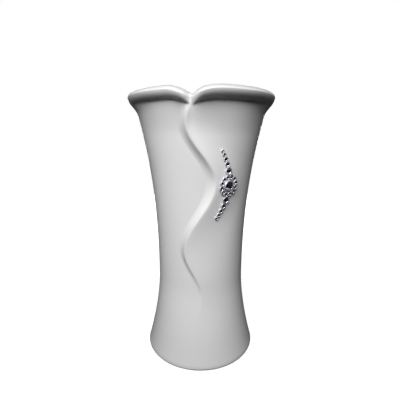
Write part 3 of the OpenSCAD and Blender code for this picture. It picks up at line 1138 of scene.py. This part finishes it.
@dataclass(frozen=True)
class Cut:
    """A brilliant cut: the number of its main facets, and its heights and widths as shares of the stone's.

    The foil goes on the faces whose normals point further down than foil_below. A tree starts from stone_w,
    and each stone then asks for its own width.
    """

    facets: int
    pavilion: float
    crown: float
    girdle: float = 0.06
    table: float = 0.55
    star_w: float = 0.8
    star_h: float = 0.55
    culet: float = 0.02
    foil_below: float = -0.2
    stone_w: float = 4 * MM

    @property
    def lean(self) -> float:
        """How far the crown leans in for each step up."""
        return (1 - self.table) / (2 * self.crown)

    def tree(self, name: str, lift: float, crystal: Material, foil: Material) -> ShapeTree:
        """Builds the tree that cuts a stone.

        Args:
            name: Name of the tree.
            lift: Height of the stone's point above its setting's back.
            crystal: Finish of the top and the edge.
            foil: Finish of the underside.

        Returns:
            A tree with the stone's width as its input.
        """
        tree = ShapeTree(name)
        width = tree.size("Stone width", self.stone_w)
        half = width * 0.5
        girdle = lift + width * self.pavilion
        edge = girdle + width * self.girdle
        star_z = edge + width * (self.star_h * self.crown)
        half_step = math.pi / self.facets
        corners = tree.join(
            tree.ring(self.facets, half * self.culet, lift),
            tree.ring(2 * self.facets, half, girdle),
            tree.ring(2 * self.facets, half, edge),
            tree.ring(self.facets, half * self.star_w, star_z, half_step),
            tree.ring(self.facets, half * self.table, edge + width * self.crown),
        )
        hull = tree.field("GeometryNodeConvexHull", {0: corners})
        facing = tree.height_of(tree.field("GeometryNodeInputNormal"))
        below = tree.math("LESS_THAN", facing, self.foil_below)
        tree.finish(hull, [Coat(crystal), Coat(foil, below)], crease=0.0)
        return tree


@dataclass(frozen=True)
class Cup:
    """A round silver setting, its rim pressed in over the edge of a stone."""

    cut: Cut
    wall: float = 0.45 * MM
    floor: float = 0.2 * MM
    gap: float = 0.06 * MM
    rim_h: float = 0.2 * MM
    grip: float = 0.135 * MM
    edge_round: float = 0.15 * MM
    stone_w: float = 4 * MM
    columns: int = 48
    edge_rows: int = 3
    rim_rows: int = 5

    @property
    def lift(self) -> float:
        """Height of the stone's point above the cup's back."""
        return self.floor + self.gap

    def foot(self, tree: ShapeTree, r: Number) -> list[Stretch]:
        """The back and its rounded edge.

        Args:
            tree: The tree that turns the section.
            r: Radius of the upright wall that follows.

        Returns:
            The section from the middle of the back to the wall.
        """
        e = self.edge_round
        return [
            Stretch(1, tree.line((0.0, 0.0), (r - e, 0.0))),
            Stretch(self.edge_rows, tree.arc((r - e, e), (e, e), -90, 0)),
        ]

    def rim(self, tree: ShapeTree, width: Field, r: Number, foot_z: float) -> list[Stretch]:
        """The upright wall, the pressed-in rim and the room for the stone.

        Args:
            tree: The tree that turns the section.
            width: Width of the stone.
            r: Radius of the upright wall.
            foot_z: Height at which the wall starts.

        Returns:
            The section from the foot over the rim down to the middle of the floor inside.
        """
        girdle = self.lift + width * self.cut.pavilion
        edge = girdle + width * self.cut.girdle
        wide = width * 0.5 + self.gap
        grip_r = width * 0.5 - self.grip
        grip_z = edge + self.grip / self.cut.lean
        crest_r = (r + grip_r) * 0.5
        inner_half = (crest_r - grip_r, edge + self.rim_h - grip_z)
        return [
            Stretch(1, tree.line((r, foot_z), (r, edge))),
            Stretch(self.rim_rows, tree.arc((crest_r, edge), (r - crest_r, self.rim_h), 0, 90)),
            Stretch(self.rim_rows, tree.arc((crest_r, grip_z), inner_half, 90, 180)),
            Stretch(1, tree.line((grip_r, grip_z), (wide, edge))),
            Stretch(1, tree.line((wide, edge), (wide, girdle - self.gap))),
            Stretch(1, tree.line((wide, girdle - self.gap), (0.0, self.floor))),
        ]

    def tree(self, name: str, silver: Material) -> ShapeTree:
        """Builds the tree that turns a cup.

        Args:
            name: Name of the tree.
            silver: Finish of the cup.

        Returns:
            A tree with the stone's width as its input.
        """
        tree = ShapeTree(name)
        width = tree.size("Stone width", self.stone_w)
        r = width * 0.5 + self.wall
        section = self.foot(tree, r) + self.rim(tree, width, r, self.edge_round)
        tree.finish(tree.lathe(section, self.columns), [Coat(silver)])
        return tree


@dataclass(frozen=True)
class Bezel(Cup):
    """The setting of the middle stone, which stands on a wider gallery."""

    wall: float = 0.5 * MM
    stone_w: float = 8 * MM
    gallery_r: float = 5 * MM
    gallery_h: float = 0.8 * MM
    columns: int = 72

    def tree(self, name: str, silver: Material) -> ShapeTree:
        """Builds the tree that turns the bezel.

        Args:
            name: Name of the tree.
            silver: Finish of the bezel.

        Returns:
            A tree with the stone's width and the gallery's radius as its inputs.
        """
        tree = ShapeTree(name)
        width = tree.size("Stone width", self.stone_w)
        gallery_r = tree.size("Gallery radius", self.gallery_r)
        r = width * 0.5 + self.wall
        e = self.edge_round
        gallery = [
            Stretch(1, tree.line((gallery_r, e), (gallery_r, self.gallery_h - e))),
            Stretch(self.edge_rows, tree.arc((gallery_r - e, self.gallery_h - e), (e, e), 0, 90)),
            Stretch(1, tree.line((gallery_r - e, self.gallery_h), (r, self.gallery_h))),
        ]
        section = self.foot(tree, gallery_r) + gallery + self.rim(tree, width, r, self.gallery_h)
        tree.finish(tree.lathe(section, self.columns), [Coat(silver)])
        return tree


SMALL_CUT = Cut(facets=8, pavilion=0.08, crown=0.13)
CENTRE_CUT = Cut(facets=12, pavilion=0.08, crown=0.11)


class Bench:
    """What the set stones share: their finishes, and the trees that shape the small stones and their cups."""

    def __init__(self) -> None:
        """Mixes the finishes and builds the trees."""
        self.silver = SilverPlate().material()
        self.crystal = CutCrystal().material()
        self.foil = Foil().material()
        self.cup = Cup(SMALL_CUT)
        self.cup_tree = self.cup.tree("stone_cup", self.silver)
        self.stone_tree = SMALL_CUT.tree("small_stone", self.cup.lift, self.crystal, self.foil)

    def cut_stone(self, node: str, tree: ShapeTree) -> Piece:
        """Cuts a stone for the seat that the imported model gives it.

        Args:
            node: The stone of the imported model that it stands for.
            tree: The tree that cuts it.

        Returns:
            The stone's piece.
        """
        seat = Seat.of(node)
        stone = tree.make(node + "_cut", seat.place, {"Stone width": seat.width})
        return stand_for(stone, node)


@dataclass
class Rosette:
    """The jewel's middle: a large stone in its bezel, and small ones round it in joined seats."""

    count: int = 12
    plate_t: float = 0.3 * MM
    plate_gap: float = 0.24 * MM
    plate_columns: int = 96
    bezel: Bezel = Bezel(CENTRE_CUT)

    def build(self, bench: Bench) -> list[Piece]:
        """Sets all the stones of the rosette.

        Args:
            bench: The shared finishes and trees.

        Returns:
            The pieces of the rosette.
        """
        centre, first = Seat.of("centre_stone"), Seat.of("halo_stone_01")
        first_at = centre.place.inverted() @ first.place.translation
        ring_r = first_at.xy.length
        gallery_r = ring_r - first.width / 2 - bench.cup.wall - bench.cup.gap
        turn = math.atan2(first_at.y, first_at.x)
        bezel_sizes = {"Stone width": centre.width, "Gallery radius": gallery_r}
        bezel_tree = self.bezel.tree("centre_setting", bench.silver)
        bezel = bezel_tree.make("centre_bezel_metal", centre.place, bezel_sizes)
        seat_tree = self.seat_ring(bench, ring_r, gallery_r, turn, first.width)
        seats = seat_tree.make("halo_setting_metal", centre.place)
        centre_tree = CENTRE_CUT.tree("large_stone", self.bezel.lift, bench.crystal, bench.foil)
        return [
            stand_for(bezel, "centre_bezel"),
            stand_for(seats, "halo_setting"),
            bench.cut_stone("centre_stone", centre_tree),
            *(bench.cut_stone(f"halo_stone_{i:02d}", bench.stone_tree) for i in range(1, self.count + 1)),
        ]

    def seat_ring(
        self, bench: Bench, ring_r: float, gallery_r: float, turn: float, width: float
    ) -> ShapeTree:
        """Builds the tree of the joined seats.

        Args:
            bench: The shared finishes and trees.
            ring_r: Radius of the circle that the seats stand on.
            gallery_r: Radius of the bezel's gallery inside them.
            turn: Angle of the first seat.
            width: Width of a stone.

        Returns:
            A tree with the ring's sizes as its inputs.
        """
        tree = ShapeTree("halo_seats")
        radius = tree.size("Ring radius", ring_r)
        stone_w = tree.size("Stone width", width)
        cup = tree.field("GeometryNodeGroup", {"Stone width": stone_w}, node_tree=bench.cup_tree.tree)
        points = tree.ring(self.count, radius, 0.0, tree.size("First seat", turn))
        seats = tree.field("GeometryNodeInstanceOnPoints", {"Points": points, "Instance": cup})
        inner = tree.size("Gallery radius", gallery_r) + self.plate_gap
        t = self.plate_t
        corners = [(inner, 0.0), (radius, 0.0), (radius, t), (inner, t), (inner, 0.0)]
        sides = [Stretch(1, tree.line(a, b)) for a, b in zip(corners, corners[1:])]
        plate = tree.lathe(sides, self.plate_columns)
        tree.finish(tree.join(seats, plate), [Coat(bench.silver)])
        return tree


@dataclass
class Tail:
    """One of the jewel's tails: set stones that grow smaller away from the rosette."""

    side: Side
    count: int = 5

    def build(self, bench: Bench) -> list[Piece]:
        """Sets the stones of the tail.

        Args:
            bench: The shared finishes and trees.

        Returns:
            The cups and the stones.
        """
        pieces = []
        for i in range(1, self.count + 1):
            node, stone = f"{self.side.value}_cup_{i}", f"{self.side.value}_stone_{i}"
            seat = Seat.of(stone)
            cup = bench.cup_tree.make(node + "_metal", seat.place, {"Stone width": seat.width})
            pieces += [stand_for(cup, node), bench.cut_stone(stone, bench.stone_tree)]
        return pieces


@dataclass
class Glue:
    """The glue behind the jewel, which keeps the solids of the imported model."""

    nodes: tuple[str, ...] = ("rosette_adhesive", "tail_adhesive")

    def dress(self) -> None:
        """Gives the solids their finish."""
        finish = HardGlue().material()
        for node in self.nodes:
            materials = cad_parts[node].data.materials
            materials.clear()
            materials.append(finish)


@dataclass(frozen=True)
class Lamp:
    """A soft box: where it hangs, seen from the point that it is turned to, its size, and its power.

    Angles are in degrees: azimuth from the front to the right, elevation from the horizontal.
    """

    name: str
    azimuth: float
    elevation: float
    distance: float
    width: float
    height: float
    watts: float


@dataclass
class Studio:
    """Camera, soft boxes, pale floor and white background, with dark cards that keep stray light off."""

    focal_px: float = 293.4
    picture_px: int = 400
    sensor_mm: float = 36.0
    eye: tuple[float, float, float] = (0, -278.5 * MM, 197.7 * MM)
    tilt: float = 10.77
    roll: float = 0.29
    shift_px: float = -0.8
    clip_start: float = 10 * MM
    aim_z: float = 200 * MM
    ambient: float = 0.005
    floor_r: float = 0.9
    card_z: float = 0.3 * MM
    curtain_r: float = 1.6
    round_sides: int = 64
    lamps: tuple[Lamp, ...] = (
        Lamp("key_lamp", -12, 39, 0.65, 0.45, 0.3, 7.4),
        Lamp("right_lamp", 75, 38, 0.8, 0.5, 0.5, 0.85),
        Lamp("left_lamp", -80, 30, 0.8, 0.5, 0.5, 0.4),
        Lamp("rear_lamp", 180, 8, 1.0, 0.8, 0.5, 9.0),
    )

    def build(self) -> None:
        """Sets up the whole studio."""
        self.camera()
        for lamp in self.lamps:
            self.hang(lamp)
        self.backdrop()
        self.floor()
        self.cards()
        bpy.context.scene.view_settings.view_transform = "Standard"

    def camera(self) -> None:
        """Places the camera where the picture was taken from."""
        data = bpy.data.cameras.new("camera")
        data.sensor_width = self.sensor_mm
        data.lens = self.focal_px / self.picture_px * self.sensor_mm
        data.shift_x = self.shift_px / self.picture_px
        data.clip_start = self.clip_start
        camera = bpy.data.objects.new("camera", data)
        tilted = Matrix.Rotation(math.radians(90 - self.tilt), 4, "X")
        rolled = Matrix.Rotation(math.radians(self.roll), 4, "Z")
        camera.matrix_world = Matrix.Translation(self.eye) @ (tilted @ rolled)
        bpy.context.scene.collection.objects.link(camera)
        bpy.context.scene.camera = camera

    def hang(self, lamp: Lamp) -> None:
        """Hangs one soft box, turned to the upper part of the vase.

        Args:
            lamp: The soft box.
        """
        data = bpy.data.lights.new(lamp.name, "AREA")
        data.energy = lamp.watts
        data.shape = "RECTANGLE"
        data.size = lamp.width
        data.size_y = lamp.height
        azimuth, elevation = math.radians(lamp.azimuth), math.radians(lamp.elevation)
        level = math.cos(elevation)
        way = Vector((math.sin(azimuth) * level, -math.cos(azimuth) * level, math.sin(elevation)))
        box = bpy.data.objects.new(lamp.name, data)
        turned = way.to_track_quat("Z", "Y").to_matrix().to_4x4()
        box.matrix_world = Matrix.Translation(Vector((0, 0, self.aim_z)) + way * lamp.distance) @ turned
        box.visible_camera = False
        bpy.context.scene.collection.objects.link(box)

    def backdrop(self) -> None:
        """White background that gives the object almost no light."""
        world = bpy.data.worlds.new("white_backdrop")
        world.use_nodes = True
        graph = Graph(world.node_tree)
        shade = graph.mix(self.ambient, 1.0, graph.seen())
        graph.plug(shade, world.node_tree.nodes["Background"].inputs["Color"])
        bpy.context.scene.world = world

    def floor(self) -> None:
        """Lays the pale floor."""
        floor = self.disc("floor", self.floor_r, 0.0)
        floor.data.materials.append(PaleFloor().material())

    def cards(self) -> None:
        """Sets dark cards on the table and all round, which only reflections and bounced light see."""
        shape = bmesh.new()
        bmesh.ops.create_cone(
            shape, segments=self.round_sides, radius1=self.curtain_r, radius2=self.curtain_r,
            depth=2 * self.curtain_r, matrix=Matrix.Translation((0, 0, self.curtain_r)))
        finish = DarkCard().material()
        for card in (self.disc("table_card", self.curtain_r, self.card_z), self.stand("curtain", shape)):
            card.data.materials.append(finish)
            card.visible_camera = False
            card.visible_shadow = False

    def disc(self, name: str, r: float, z: float) -> Piece:
        """A flat round sheet.

        Args:
            name: Its name.
            r: Its radius.
            z: Its height.

        Returns:
            The sheet.
        """
        shape = bmesh.new()
        place = Matrix.Translation((0, 0, z))
        bmesh.ops.create_circle(shape, cap_ends=True, segments=self.round_sides, radius=r, matrix=place)
        return self.stand(name, shape)

    def stand(self, name: str, shape: bmesh.types.BMesh) -> Piece:
        """Puts a shape into the scene.

        Args:
            name: Name of the new object.
            shape: The shape, which is used up.

        Returns:
            The object.
        """
        mesh = bpy.data.meshes.new(name)
        shape.to_mesh(mesh)
        shape.free()
        thing = bpy.data.objects.new(name, mesh)
        bpy.context.scene.collection.objects.link(thing)
        return thing


def main() -> None:
    """Builds the vase and its jewel, then the studio."""
    logging.basicConfig(level=logging.INFO, format="%(name)s: %(message)s")
    bench = Bench()
    pieces = [VaseWall().build(), *Rosette().build(bench)]
    for side in Side:
        pieces += Tail(side).build(bench)
    Glue().dress()
    for piece in pieces:
        LOG.info("%s, %d faces", piece.name, len(piece.data.polygons))
    Studio().build()


if __name__ == "__main__":
    main()
